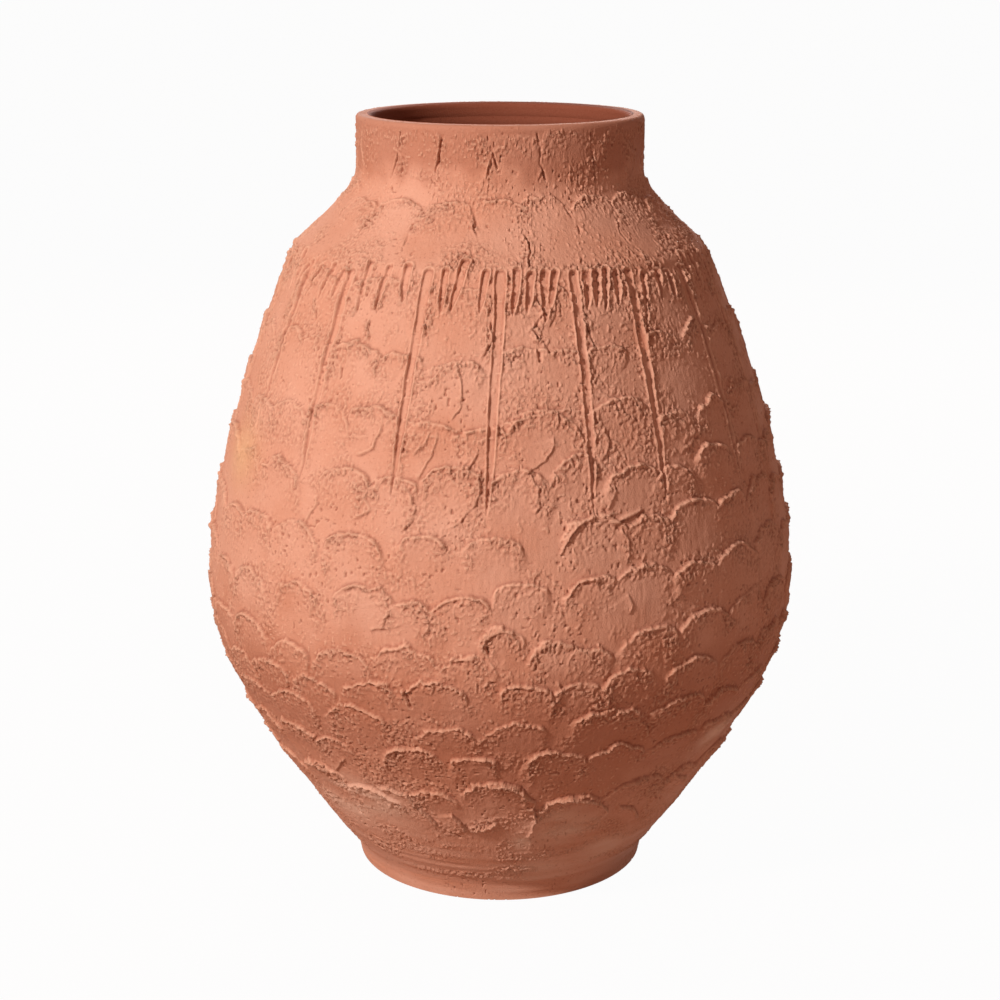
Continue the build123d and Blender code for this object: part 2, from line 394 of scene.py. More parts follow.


# %% [markdown]
# The rows are wiped from the top down, so each row covers the tails of the row above it.
# The arches that face the camera are listed one by one: angle, height and, in degrees, half the width. The
# rest of each row goes on round the back with the same spacing, a little uneven.
# On the neck the clay was only patted, so it has no torn edges. Further down the edges get sharper.

# %% Wipe the rows of smears
NECK = [(-52, 794, 9), (-31, 795, 9.5), (-12, 793, 9), (6, 795, 9), (26, 794, 11), (50, 794, 12)]
SHOULDER = [
    (-57, 722, 9), (-38, 726, 10), (-18, 728, 9.5), (-1, 731, 9), (15, 733, 8.5), (33, 730, 9.5),
    (52, 729, 9.5),
]
FRINGE = [
    (-50, 660, 9), (-31, 660, 10), (-11, 658, 10), (9, 659, 9), (27, 660, 9), (45, 661, 9), (62, 660, 9),
]
SMEAR_ROWS = [
    [(-58, 604, 6), (-46, 598, 7), (-34, 603, 6), (-22, 596, 6), (-9, 592, 6), (5, 606, 6), (14, 600, 6),
     (25, 603, 5), (39, 607, 6), (52, 612, 6)],
    [(-62, 532, 6), (-50, 538, 7), (-38, 541, 6), (-27, 548, 6), (-14, 536, 6), (-3, 533, 5), (8, 547, 8),
     (26, 555, 6.5), (39, 538, 5), (51, 541, 5.5)],
    [(-62, 480, 6), (-50, 482, 7), (-31, 487, 6.5), (-20, 486, 5), (-9, 499, 6), (4, 497, 6.5),
     (15, 504, 4.5), (27, 493, 6), (36, 486, 5), (48, 499, 5.5), (61, 494, 6)],
    [(-64, 424, 6), (-54, 428, 6), (-42, 431, 6.5), (-28, 431, 6.5), (-14, 436, 5), (-1, 436, 5.5),
     (17.5, 452, 7), (29, 446, 6), (40, 453, 6.5), (51, 450, 5.5), (63, 452, 6)],
    [(-66, 366, 6), (-54, 371, 6), (-40, 374, 5.5), (-25, 386, 6), (-6, 381, 5.5), (-16, 373, 4.8),
     (4, 394, 5), (17, 394, 5.8), (38, 395, 6), (27, 401, 6.5), (50, 399, 7), (63, 404, 6)],
    [(-66, 316, 6), (-54, 323, 6), (-42, 310, 5.5), (-29, 317, 6), (-17, 328, 5.5), (-5, 321, 5.5),
     (1, 350, 4), (10, 336, 6), (16, 330, 4), (28, 341, 6.3), (40, 346, 6.5), (53, 349, 6), (65, 343, 6)],
    [(-60, 276, 6), (-49, 284, 6), (-37, 279, 6), (-24, 290, 5), (-12, 294, 6), (4, 296, 5), (14, 294, 5),
     (24, 303, 5.5), (38, 299, 6.5), (51, 300, 6), (63, 300, 6)],
    [(-58, 250, 6), (-44, 255, 6.5), (-28, 258, 7), (-9, 245, 6.5), (4, 256, 5.5), (21, 264, 7),
     (37, 260, 7), (49, 253, 6), (61, 253, 6)],
    [(-60, 208, 6), (-47, 216, 6), (-37, 210, 5), (-18, 217, 6.5), (-5, 211, 5), (11, 218, 6.5),
     (25, 216, 7), (39, 213, 6.5), (52, 216, 6), (64, 212, 6)],
    [(-62, 160, 7), (-46, 165, 7), (-33, 150, 8), (-16, 160, 6), (-1, 176, 7), (18, 154, 8), (34, 162, 8),
     (49, 158, 7), (63, 165, 7)],
]
SMEAR_PITCH = 12.5
NECK_FOOT = 740.0


def whole_row(seen, pitch):
    """A row's arches all the way round: those seen from the front, then more at about this pitch."""
    row = list(seen)
    gap = 360.0 - (seen[-1][0] - seen[0][0])
    count = round(gap / pitch) - 1
    middle = sum(place[1] for place in seen) / len(seen)
    for number in range(1, count + 1):
        angle = seen[-1][0] + gap * number / (count + 1) + draw.uniform(-0.15, 0.15) * pitch
        row.append((angle, middle + draw.uniform(-9.0, 9.0), pitch * draw.uniform(0.44, 0.58)))
    return row


def wipe_row(seen, pitch, rise_share, thick, lip):
    """Wipes a whole row: first those seen from the front, then the rest."""
    row = whole_row(seen, pitch)
    for angle, top, spread in row:
        half_width = math.radians(spread) * np.interp(top, heights, outer_radius)
        rise = half_width * rise_share * draw.uniform(0.8, 1.25)
        wipe(angle, top, half_width, rise, thick * draw.uniform(0.8, 1.2), lip * draw.uniform(0.4, 1.4))
    return row


def seams_between(row, high, low, depth, crumbs):
    """A seam down between every two neighbours of a row."""
    for (angle, *_), (after, *_) in zip(row, row[1:] + row[:1]):
        middle = angle + ((after - angle) % 360.0) / 2.0 + draw.uniform(-1.5, 1.5)
        knee = middle + draw.uniform(-2.0, 2.0)
        heel = middle + draw.uniform(-2.5, 2.5)
        seam([(middle, high), (knee, (high + low) / 2), (heel, low)], depth, crumbs)


neck_row = wipe_row(NECK, pitch=19.0, rise_share=0.7, thick=0.3, lip=0.0)
frayed[row_height > NECK_FOOT] = 0.0
seams_between(neck_row, high=788.0, low=742.0, depth=0.7, crumbs=0.7)
shoulder_row = wipe_row(SHOULDER, pitch=18.5, rise_share=0.7, thick=1.5, lip=0.9)
seams_between(shoulder_row, high=722.0, low=672.0, depth=1.8, crumbs=1.0)
shoulder_ridge = ease(row_height, 664.0, 669.0) * (1.0 - ease(row_height, 672.0, 700.0))
relief += shoulder_ridge[:, None]
fringe_row = wipe_row(FRINGE, pitch=19.0, rise_share=0.6, thick=1.2, lip=0.3)
wiped = len(neck_row + shoulder_row + fringe_row)
for number, seen in enumerate(SMEAR_ROWS):
    sharp = float(ease(number, 0.0, 3.0))
    row = wipe_row(seen, SMEAR_PITCH, rise_share=0.66, thick=1.5 + 0.7 * sharp, lip=1.0 + 0.6 * sharp)
    wiped += len(row)
print("smears wiped:", wiped)

# %% [markdown]
# The strokes come after the smears: long ones about every 19 degrees and short ones between them.
# Each is given as the angle and height where the finger went in, the degrees by which it slants on its
# way down, and the height where it runs out. Between the long ones the clay is torn in ragged seams.

# %% Drag the finger strokes
LONG_STROKES = [
    (-41.6, 665, -1.2, 470), (-18.5, 671, -2.6, 468), (0.3, 672, -2.8, 455), (19.2, 670, -1.4, 446),
    (35.0, 668, -1.6, 455), (55.0, 664, 1.0, 450),
]
SHORT_STROKES = [
    (-62, 662, -2, 634), (-58, 660, -3, 630), (-54, 664, -3.6, 632), (-49, 668, -2.3, 632),
    (-44.5, 664, -1.5, 636), (-36, 674, -0.6, 626), (-29.8, 672, -1.6, 632), (-24.5, 674, 0.2, 640),
    (-14, 672, -0.4, 630), (-9, 680, -2.8, 634), (-3.4, 672, -1.4, 634), (4.5, 673, -1.4, 632),
    (8, 670, -1.4, 634), (11.5, 671, -0.7, 625), (14.5, 671, -2.6, 637), (22.8, 669, -1.2, 634),
    (25.5, 670, -1.4, 636), (28.5, 671, -2.4, 632), (31.2, 668, -1, 636), (40, 664, -2.8, 617),
    (45, 664, -1, 636), (49, 662, 0, 634),
]
FRINGE_SEAMS = [
    (-51, 648), (-31, 644), (-16.5, 648), (-2.5, 642), (9, 650), (21.5, 648), (38, 650), (52, 646),
]
LONG_PITCH = 19.5
SHORT_PITCH = 5.0
SEAM_PITCH = 15.0
SEAM_DROPS = (16, 30, 48)


def go_round(marks, pitch, *ranges):
    """The marks seen from the front and, round the back, more of them at about this pitch."""
    gap = 360.0 - (marks[-1][0] - marks[0][0])
    count = round(gap / pitch) - 1
    hidden = []
    for number in range(1, count + 1):
        angle = marks[-1][0] + gap * number / (count + 1) + draw.uniform(-0.2, 0.2) * pitch
        hidden.append((angle, *[draw.uniform(*limits) for limits in ranges]))
    return marks + hidden


for angle, high in go_round(FRINGE_SEAMS, SEAM_PITCH, (640, 650)):
    bends = [(angle + draw.uniform(-2.0, 2.0), high - drop) for drop in SEAM_DROPS]
    seam([(angle, high), *bends], depth=2.2, crumbs=1.2)
long_marks = go_round(LONG_STROKES, LONG_PITCH, (664, 672), (-2.5, 2.0), (445, 480))
short_marks = go_round(SHORT_STROKES, SHORT_PITCH, (662, 674), (-2.5, 1.0), (618, 644))
for mark in short_marks:
    stroke(*mark, half_width=draw.uniform(3.2, 4.8), depth=1.5, burr=1.3)
for mark in long_marks:
    stroke(*mark, half_width=draw.uniform(4.2, 5.0), depth=1.2, burr=1.5)
print("long strokes:", len(long_marks), "short strokes:", len(short_marks))

# %% [markdown]
# Some scales show their right-hand edge as a thin dark line, and near the foot the clay was laid on in big
# irregular patches. These edges are drawn one by one, round the scale: each is a course of angles and
# heights. Dents and the thin cracks of the neck are courses too.
# The hidden side gets some edges and cracks of its own, at places that are drawn at random.

# %% Edges of single scales
SCALE_EDGES = [
    [(21, 532), (22.5, 517), (21.5, 505), (20, 498)], [(22.3, 440), (24, 430), (24.3, 415), (23.7, 402)],
    [(6, 493), (7.5, 480), (7.5, 462), (6.2, 455)], [(10.5, 525), (11, 517), (9, 503), (5, 491)],
    [(22, 480), (22.7, 472), (21, 460), (20, 455)], [(44, 532), (44.5, 520), (43, 506), (38, 494)],
    [(-19.5, 485), (-17, 470), (-16, 460), (-16.5, 448), (-19, 432)],
    [(-24.2, 533), (-26, 510), (-30, 498)],
    [(-24, 488), (-25.7, 475), (-26.2, 462), (-25.2, 453), (-30, 437)],
    [(-37.5, 460), (-37.3, 450), (-40, 430)], [(-14, 527), (-15, 515), (-17, 505)],
    [(-12.5, 530), (-13, 508), (-16, 480)], [(-4, 511), (-6.5, 494)],
    [(-9, 590), (-8, 572), (-8.2, 548), (-10, 537)], [(0, 538), (6, 543), (16, 550)],
    [(-4, 490), (-3.6, 478), (-4.5, 464), (-7, 450), (-10, 440)],
    [(33, 393), (35, 380), (34, 369), (31, 355)],
    [(-15, 372), (-12.5, 360), (-12.5, 345), (-14, 338)],
    [(-21, 378), (-19.7, 360), (-21, 345), (-24, 340)],
    [(23, 378), (24.2, 366), (23.5, 356)], [(-24, 200), (-24.5, 185), (-23, 165)],
    [(-35, 187), (-38, 172), (-41, 160)], [(10.5, 300), (11, 285), (9, 268)],
    [(20.5, 290), (20, 275), (20, 262)],
]
FOOT_EDGES = [
    [(-30, 154), (-26, 157), (-22, 152), (-18, 125), (-15, 108)],
    [(-4, 176), (1, 177), (5, 168), (8, 152), (7, 138)],
    [(5, 146), (7.5, 143), (9, 125), (8.5, 110), (6, 96)],
    [(12, 150), (17, 154), (24, 143), (27.5, 125), (24, 98)],
    [(-12, 134), (-10, 118), (-8, 108)], [(0, 122), (-4, 112), (-8, 108)],
    [(-50, 167), (-47, 163), (-43, 158)], [(30, 128), (36, 120), (42, 96)],
    [(45, 150), (52, 140), (56, 118)],
]
DENTS = [
    ([(-42.5, 158), (-41.5, 150)], 3.0, 2.2), ([(-40.5, 147), (-39, 143)], 3.0, 2.2),
    ([(-37.3, 136), (-36.8, 130)], 3.0, 2.0), ([(-41.6, 114), (-41.4, 104)], 3.2, 2.2),
    ([(-12.5, 102), (-11, 97)], 2.6, 1.8), ([(43.5, 124), (44.5, 119)], 3.0, 2.0),
    ([(46, 121), (47, 116)], 3.0, 2.0), ([(42.6, 110), (43.4, 106)], 2.6, 1.8),
    ([(-17.0, 283), (-16.4, 266)], 2.4, 2.6), ([(-17.8, 640), (-17.4, 628)], 2.6, 2.4),
    ([(-50.3, 622), (-49.8, 614)], 2.6, 2.2), ([(-2.3, 333), (-1.7, 322)], 2.2, 2.6),
    ([(8.6, 600), (8.9, 592)], 2.4, 1.8), ([(-37.2, 576), (-36.8, 568)], 1.8, 1.6),
    ([(-44.2, 598), (-43.8, 590)], 1.8, 1.6),
]
NECK_CRACKS = [
    [(-41.4, 790), (-42.1, 776), (-44.4, 758), (-46.8, 745)],
    [(-21.8, 790), (-22.7, 780), (-23.9, 766), (-25.2, 755)],
    [(-3.6, 779), (-2.2, 768), (-1.3, 760)], [(14.0, 791), (14.8, 778), (15.3, 764), (17.1, 748)],
    [(36.9, 790), (36.6, 777), (38.7, 761), (39.3, 745)], [(63.9, 777), (66.3, 761), (64.7, 749)],
]
HIDDEN_EDGES = 40
HIDDEN_CRACKS = 12

for course in SCALE_EDGES:
    ledge(course, height=1.1, reach=14.0)
for course in FOOT_EDGES:
    ledge(course, height=2.2, reach=12.0)
for _ in range(HIDDEN_EDGES):
    angle = draw.uniform(65.0, 295.0)
    high = draw.uniform(120.0, 540.0)
    course = [(angle, high), (angle + 1.5, high - 13), (angle + 1.2, high - 26), (angle - 1.5, high - 38)]
    ledge(course, height=1.1, reach=14.0)
for course, width, depth in DENTS:
    dent(course, width, depth)
cracks = list(NECK_CRACKS)
for number in range(HIDDEN_CRACKS):
    angle = 84.0 + 19.0 * number + draw.uniform(-4.0, 4.0)
    bend = angle + draw.uniform(-2.0, 2.0)
    cracks.append([(angle, 786), (bend, 770), (angle + draw.uniform(-3.0, 3.0), 752)])
for course in cracks:
    dent(course, width=1.7, depth=2.2)
print("edges:", len(SCALE_EDGES) + len(FOOT_EDGES) + HIDDEN_EDGES, "cracks:", len(cracks))

# %% [markdown]
# In front, one smear pushed up a thick roll of clay along its left edge, and beside it a flake stands
# off with a hollow under it. A smaller roll lies lower down. Each has its course, width and height.

# %% The roll and the flake
ROLLS = [
    ([(10.8, 417), (11.5, 427), (12.5, 437), (14, 445), (16, 449.5), (18.5, 452.5)], 2.8, 2.6),
    ([(19.2, 450), (20.6, 452), (22.6, 453)], 1.7, 1.6),
    ([(20.2, 447), (21.8, 445), (24.5, 449.5), (28.4, 453.5)], 3.0, 2.6),
    ([(-3.2, 330), (-2.8, 340), (-1.6, 347), (0.2, 351), (2.0, 350)], 2.4, 2.2),
]
for course, width, height in ROLLS:
    roll(course, width, height)
dent([(21.8, 441.5), (25, 446), (28, 450)], width=2.2, depth=1.0)
print("rolls:", len(ROLLS))

# %% [markdown]
# Torn clay is full of crumbs and pits. They are real lumps in the mesh, and they stand where crumb
# is high. The hand went over them once more, so their tops are pressed almost level. Near the foot
# the wall was wiped level on a turntable, so the relief dies away there, and it also dies away at the
# lip, which was smoothed with a wet hand. Wiped clay between the crumbs carries fine upright streaks,
# and the whole jar is a little out of true.

# %% Crumbs, pits and the calm zones
FLATTENED = 0.45
LEFT_OVER = 0.3
foot_calm = ease(points[..., 2] + 12.0 * edge_slow + 8.0 * edge_side, 48.0, 92.0)
lip_calm = 1.0 - 0.75 * ease(row_height, 787.0, 797.0)[:, None]
calm = foot_calm * lip_calm
crumb *= calm * (1.0 - 0.35 * ease(row_height, 738.0, 748.0))[:, None]
foot_patches = ease(noise(18.0, 22, (2.5, 2.5, 0.6)), -0.1, 0.5)
crumb += 0.7 * (1.0 - foot_calm) * foot_patches * ease(row_height, 22.0, 40.0)[:, None]
relief *= calm
crumb = np.clip(crumb, 0.0, 1.0)
lumps = 1.2 * ease(noise(2.0, 11, (1.0, 1.0, 1.3)), 0.05, 0.35) + 0.6 * noise(3.0, 12) - 0.4
clods = 1.1 * ease(noise(4.4, 18), 0.25, 0.5) * ease(noise(15.0, 19), -0.1, 0.35)
torn_clay = 1.7 * crumb * lumps + clods * ease(crumb, 0.35, 0.8)
torn_clay += 0.9 * np.clip(frayed * calm, 0.0, 1.0) * noise(2.9, 20)
relief += np.where(torn_clay > FLATTENED, FLATTENED + LEFT_OVER * (torn_clay - FLATTENED), torn_clay)
streaks = noise(2.2, 17, (1.0, 1.0, 9.0))
relief += 0.17 * streaks * calm * (1.0 - crumb)
strays = ease(noise(2.5, 24), 0.5, 0.62) * ease(noise(24.0, 25), -0.25, 0.3)
relief += 0.9 * strays * calm * (1.0 - crumb)
pits = ease(noise(3.0, 13), 0.58, 0.7) * ease(noise(34.0, 14), -0.1, 0.4)
relief -= 1.3 * pits * (0.6 + 0.4 * calm) * lip_calm
wheel = noise(9.0, 15, (12.0, 12.0, 0.5))
relief += 0.4 * wheel * (1.0 - foot_calm)
body = (ease(row_height, 0.0, 30.0) * (1.0 - ease(row_height, 790.0, 800.0)))[:, None]
relief += 1.2 * noise(160.0, 16) * body
print("relief in mm:", round(float(relief.min()), 2), "to", round(float(relief.max()), 2))

# %% [markdown]
# The hollows of such a wall get painted shade, and what stands out is painted paler, partly as wear and
# partly as a painted highlight. So each place is compared with the clay round it: the painted shade is high
# where it lies lower, the wear and painted highlight where it stands higher.
# Then the relief is laid on the wall, sunk in by half a millimetre so that the jar keeps its width.

# %% Painted shade, wear with painted highlight, and the finished outside
DEPTH_OF_WORK = 1.22
SUNK = 0.5
BOX_MARGIN = 0.1


def softened(field, times):
    """The field averaged with its neighbours this many times."""
    for _ in range(times):
        field = (field + np.roll(field, 1, 1) + np.roll(field, -1, 1)) / 3.0
        padded = np.pad(field, ((1, 1), (0, 0)), mode="edge")
        field = (padded[:-2] + padded[1:-1] + padded[2:]) / 3.0
    return field


surroundings = softened(relief, 3)
# Painted shade where the clay lies lower than the clay round it.
painted_shade = np.clip((surroundings - relief) / 0.65 - 0.1, 0.0, 1.0)
# Edge wear with a painted highlight where the clay stands higher than the clay round it.
wear_and_highlight = np.clip((relief - surroundings) / 0.6 - 0.1, 0.0, 1.0)
relief = DEPTH_OF_WORK * relief - SUNK * calm
widest = cad_high.x / MM - BOX_MARGIN
relief = np.minimum(relief, (widest - row_radius)[:, None])
outside = points.copy()
outside[..., 0] += relief * out_r[:, None] * np.sin(theta)
outside[..., 1] -= relief * out_r[:, None] * np.cos(theta)
outside[..., 2] += relief * out_z[:, None]
outside[..., 2] = np.clip(outside[..., 2], 0.0, jar_height)
print("mean of crevice:", round(float(painted_shade.mean()), 3), "of rubbed:", round(float(wear_and_highlight.mean()), 3))

# %% [markdown]
# Lime in the clay leaves pale blooms near the foot, and one side caught the flame as an ochre flush.
# The neck and the lower belly are a shade redder and darker than the rest, and the inside is made redder
# and darker still as painted shade.
# Each bloom or flush is an angle, a height, half a width in degrees and half a height in mm. All these
# fields go into the meshes as attributes, where the material will find them by their names.

# %% Blooms and flushes
BLOOMS = [
    (-34, 130, 12, 24), (-46, 108, 10, 16), (17, 112, 8, 24), (14, 45, 9, 20), (55, 190, 6, 16),
    (6, 92, 3, 12), (32, 62, 10, 14), (150, 120, 16, 20), (215, 95, 12, 18),
]
FLUSHES = [(-66, 472, 7, 30)]


def cloud(places):
    """Soft patches over the wall, 1 in their middle and 0 away from them."""
    total = np.zeros(relief.shape, np.float32)
    for angle, height, wide, high in places:
        turn = np.degrees(around(angle))[None, :] / wide
        lift = (points[..., 2] - height) / high
        total = np.maximum(total, np.exp(-(turn**2 + lift**2)))
    return total


bloom = cloud(BLOOMS) * (0.7 + 0.7 * noise(16.0, 21, (2.0, 2.0, 0.5)))
flush = 0.45 * cloud(FLUSHES)
lower = points[..., 2] + 25.0 * edge_slow
tone -= 1.4 * (1.0 - ease(lower, 260.0, 370.0)) * ease(lower, 60.0, 230.0)
tone += 1.6 * noise(12.0, 23, (4.0, 4.0, 0.5)) * (1.0 - ease(lower, 60.0, 130.0))
# A darker red on the neck and the lower belly; on the inside the same coat is painted shade.
darker_red_and_inside_shade = 0.57 * ease(points[..., 2] + 12.0 * edge_slow + 8.0 * edge_side, 738.0, 764.0)
darker_red_and_inside_shade = darker_red_and_inside_shade + 0.5 * (1.0 - ease(lower, 250.0, 350.0)) * ease(lower, 100.0, 240.0)
skin = {
    "crumb": crumb,
    "painted_shade": painted_shade,
    "tone": tone,
    "bloom": bloom,
    "flush": flush,
    "darker_red_and_inside_shade": darker_red_and_inside_shade,
    "wear_and_highlight": wear_and_highlight,
}
print("fields of the skin:", ", ".join(skin))

# %% [markdown]
# A coil of clay starts as a tube with no ends: a cylinder whose upright edges are divided into
# rows. Its two open ends are bridged, which closes the tube's section into a ring, and every row is
# then moved to its place on the coil. The slab keeps its ends, closed by fans of triangles.

# %% Model the tube that every coil starts from
TUBE_SIZE = 1.0
HALF = TUBE_SIZE / 2


def places_of(mesh):
    """The places of a mesh's vertices."""
    place = np.empty(len(mesh.vertices) * 3, np.float32)
    mesh.vertices.foreach_get("co", place)
    return place.reshape(-1, 3)


def edges_of(mesh):
    """The numbers of the two vertices at the ends of each edge."""
    pairs = np.empty(len(mesh.edges) * 2, np.int32)
    mesh.edges.foreach_get("vertices", pairs)
    return pairs.reshape(-1, 2)


def clay_tube(name, rows, ends_closed):
    """A cylinder at the origin with this many rows, open ended and bridged, or closed at its ends."""
    bpy.ops.object.select_all(action="DESELECT")
    fans = "TRIFAN" if ends_closed else "NOTHING"
    bpy.ops.mesh.primitive_cylinder_add(
        vertices=COLUMNS, radius=TUBE_SIZE, depth=TUBE_SIZE, end_fill_type=fans
    )
    piece = bpy.context.object
    piece.name = piece.data.name = name
    mesh = piece.data
    bpy.ops.object.mode_set(mode="EDIT")
    bpy.ops.mesh.select_mode(type="EDGE")
    bpy.ops.mesh.select_all(action="DESELECT")
    bpy.ops.object.mode_set(mode="OBJECT")
    place, pairs = places_of(mesh), edges_of(mesh)
    upright = np.abs(place[pairs[:, 0], 2] - place[pairs[:, 1], 2]) > HALF
    mesh.edges.foreach_set("select", upright)
    bpy.ops.object.mode_set(mode="EDIT")
    bpy.ops.mesh.subdivide_edgering(number_cuts=rows - 2, interpolation="LINEAR", smoothness=0.0)
    if not ends_closed:
        bpy.ops.mesh.select_all(action="DESELECT")
        bpy.ops.mesh.select_non_manifold(extend=False)
        bpy.ops.mesh.bridge_edge_loops()
    bpy.ops.object.mode_set(mode="OBJECT")
    return piece


def press_into_shape(piece, rows, attributes, corner_rows):
    """Moves every vertex of a tube to its row and column of the coil, and marks the coil's corners."""
    mesh = piece.data
    place = places_of(mesh)
    column = np.rint((np.arctan2(place[:, 0], -place[:, 1]) + math.pi) / (2 * math.pi) * COLUMNS)
    column = column.astype(int) % COLUMNS
    row = np.rint((place[:, 2] + HALF) * (len(rows) - 1)).astype(int)
    middle = np.hypot(place[:, 0], place[:, 1]) < HALF
    moved = rows[row, column]
    moved[middle, :2] = 0.0
    mesh.vertices.foreach_set("co", (moved * MM).astype(np.float32).ravel())
    for name, values in attributes.items():
        layer = mesh.attributes.new(name, "FLOAT", "POINT")
        layer.data.foreach_set("value", values[row, column].astype(np.float32))
    mesh.update()
    bpy.ops.object.shade_smooth()
    bpy.ops.object.mode_set(mode="EDIT")
    bpy.ops.mesh.select_all(action="SELECT")
    bpy.ops.mesh.normals_make_consistent(inside=False)
    bpy.ops.object.mode_set(mode="OBJECT")
    pairs = row[edges_of(mesh)]
    corner = (pairs[:, 0] == pairs[:, 1]) & np.isin(pairs[:, 0], corner_rows)
    mesh.edges.foreach_set("use_edge_sharp", corner)
    return piece


print("columns round a tube:", COLUMNS)

# %% [markdown]
# Inside, the wall is plain: it is read off the solids and gets only faint rings from the turntable, with
# finer rows in the neck, where one can look in. Each coil takes its stretch of the outside, turns in at the
# joint and comes back along the inside. The inside is free of crumbs, and is given a dark red as painted
# shade.

# %% Shape the coils
INNER_STEP = 16.0
NECK_INNER_STEP = 2.2
RING_PITCH = 8.5
RING_HEIGHT = 0.5
RING_GRAIN = (26.0, 31, (3.0, 3.0, 0.5))
UNDER_RINGS = np.array([60.0, 110.0, 140.0])
UPPER_RINGS = np.array([150.0, 130.0, 90.0])
# On the inside, the high hollow value and the darker red are painted shade.
INSIDE_LOOK = {"crumb": 0.08, "painted_shade": 1.6, "darker_red_and_inside_shade": 1.0, "wear_and_highlight": 0.0}


def inner_rows(number):
    """The rows of a coil's inner skin, from its top to its bottom, with faint rings from the turntable."""
    mine = np.flatnonzero(inner_owner == number)
    high = inner_heights[mine[-1]] + RAY_STEP / 2
    low = inner_heights[mine[0]] - RAY_STEP / 2
    step = NECK_INNER_STEP if number >= len(STACK) - 2 else INNER_STEP
    height = np.linspace(high, low, max(3, int((high - low) / step)))
    if high == jar_height:
        height = height[1:]  # the outside already ends on the lip's inner edge
    radius = np.interp(height, inner_heights, inner_radius)
    rows = ring_of(radius, height)
    ripple = RING_HEIGHT * np.sin(2 * math.pi * height / RING_PITCH)[:, None]
    ripple = ripple + RING_HEIGHT * noise(*RING_GRAIN, rows)
    ripple *= (1.0 - ease(height, 788.0, 796.0))[:, None]
    rows[..., 0] += ripple * np.sin(theta)
    rows[..., 1] -= ripple * np.cos(theta)
    return rows


def piece_name(node):
    return node.replace("coil", "course").replace("base_slab", "foot_slab")


pieces = {}
for number, node in enumerate(STACK):
    mine = slice(first_row[number], first_row[number + 1] + 1)
    outer = outside[mine]
    last = len(outer) - 1
    if node == "base_slab":
        under = ring_of(UNDER_RINGS, np.zeros(len(UNDER_RINGS)))
        upper = ring_of(UPPER_RINGS, np.full(len(UPPER_RINGS), floor_height))
        rows = np.concatenate([under, outer, upper])
        before, after = len(under), len(upper)
        corners_at = [before, before + last]
    else:
        inner = inner_rows(number)
        rows = np.concatenate([outer, inner])
        before, after = 0, len(inner)
        corners_at = [0, last, last + 1, len(rows) - 1]
        if node == "rim_coil":
            corners_at = [0, len(rows) - 1]
    around_it = ((before, after), (0, 0))
    values = {name: np.pad(field[mine], around_it, mode="edge") for name, field in skin.items()}
    for name, value in INSIDE_LOOK.items():
        values[name][-after:] = value
    tube = clay_tube(piece_name(node), len(rows), node == "base_slab")
    pieces[node] = press_into_shape(tube, rows, values, corners_at)
print("pieces:", len(pieces), "triangles:", sum(2 * len(p.data.polygons) for p in pieces.values()))

# %% [markdown]
# Colours are written as sRGB hex values, as a paint program shows them, but Blender mixes light and
# wants them linear. A second helper adds a node to a material with its settings and links.

# %% Helpers for materials
def linear(hex_colour):
    """An sRGB hex colour as linear red, green, blue and alpha."""
    channels = [int(hex_colour[n : n + 2], 16) / 255.0 for n in (1, 3, 5)]
    return (*[c / 12.92 if c <= 0.04045 else ((c + 0.055) / 1.055) ** 2.4 for c in channels], 1.0)


def add(tree, kind, inputs=None, **settings):
    """Adds a node with its settings, and links or sets its inputs."""
    node = tree.nodes.new(kind)
    for name, value in settings.items():
        setattr(node, name, value)
    for socket, value in (inputs or {}).items():
        if isinstance(value, bpy.types.NodeSocket):
            tree.links.new(value, node.inputs[socket])
        else:
            node.inputs[socket].default_value = value
    return node


print("sRGB mid grey is linear", round(linear("#808080")[0], 3))

# %% [markdown]
# The clay is terracotta: red earthenware, fired at a low heat and left unglazed. Its open pores scatter the
# light, so it is matt all over, with no clear highlight: wiped stretches are smooth and a little paler,
# torn ones grainy, with painted shade in their gaps and pits and painted highlights on the tops of their
# crumbs. The colour is built in coats: the clay with its mottles, a darker red on the neck and the lower
# belly, painted shade in hollows, pits and the inside, edge wear with painted highlights, lime blooms and
# the flush of the flame.
# Grit finer than half a millimetre wouldn't show in a picture, so grit, speckle and torn grain are drawn
# at one to two and a half millimetres.

# %% Terracotta
CLAY_RED = "#BF795A"
CLAY_PINK = "#DAA58D"
# The colour of painted shade in hollows, gaps and pits, and on the inside.
CLAY_PAINTED_SHADE = "#7E3E2A"
CLAY_PALE = "#DDB098"
# The colour of edge wear with a painted highlight, and of painted highlights on crumb tops.
CLAY_WEAR_AND_HIGHLIGHT = "#DFA98C"
# A darker red for the neck and the lower belly, and as painted shade on the inside.
CLAY_DARKER_RED = "#A2634A"
CLAY_OCHRE = "#D9AC7C"
MOTTLE_MM, SPECKLE_MM, GRIT_MM, TORN_MM = 70.0, 2.4, 1.3, 2.0
TORN_STRETCH = (1.0, 1.0, 0.65)
GRAIN_HEIGHT = 0.0022
PER_METRE = 1000.0
TONE_AMOUNT, SPECKLE_AMOUNT, PAINTED_SHADE_AMOUNT, WEAR_AND_HIGHLIGHT_AMOUNT, GRIT_AMOUNT = 0.2, 0.35, 0.5, 0.6, 0.24
# A Mix node has several sockets of one name, so its colour sockets go by number.
MIX_SHARE, MIX_UNDER, MIX_OVER, MIX_RESULT = 0, 6, 7, 2


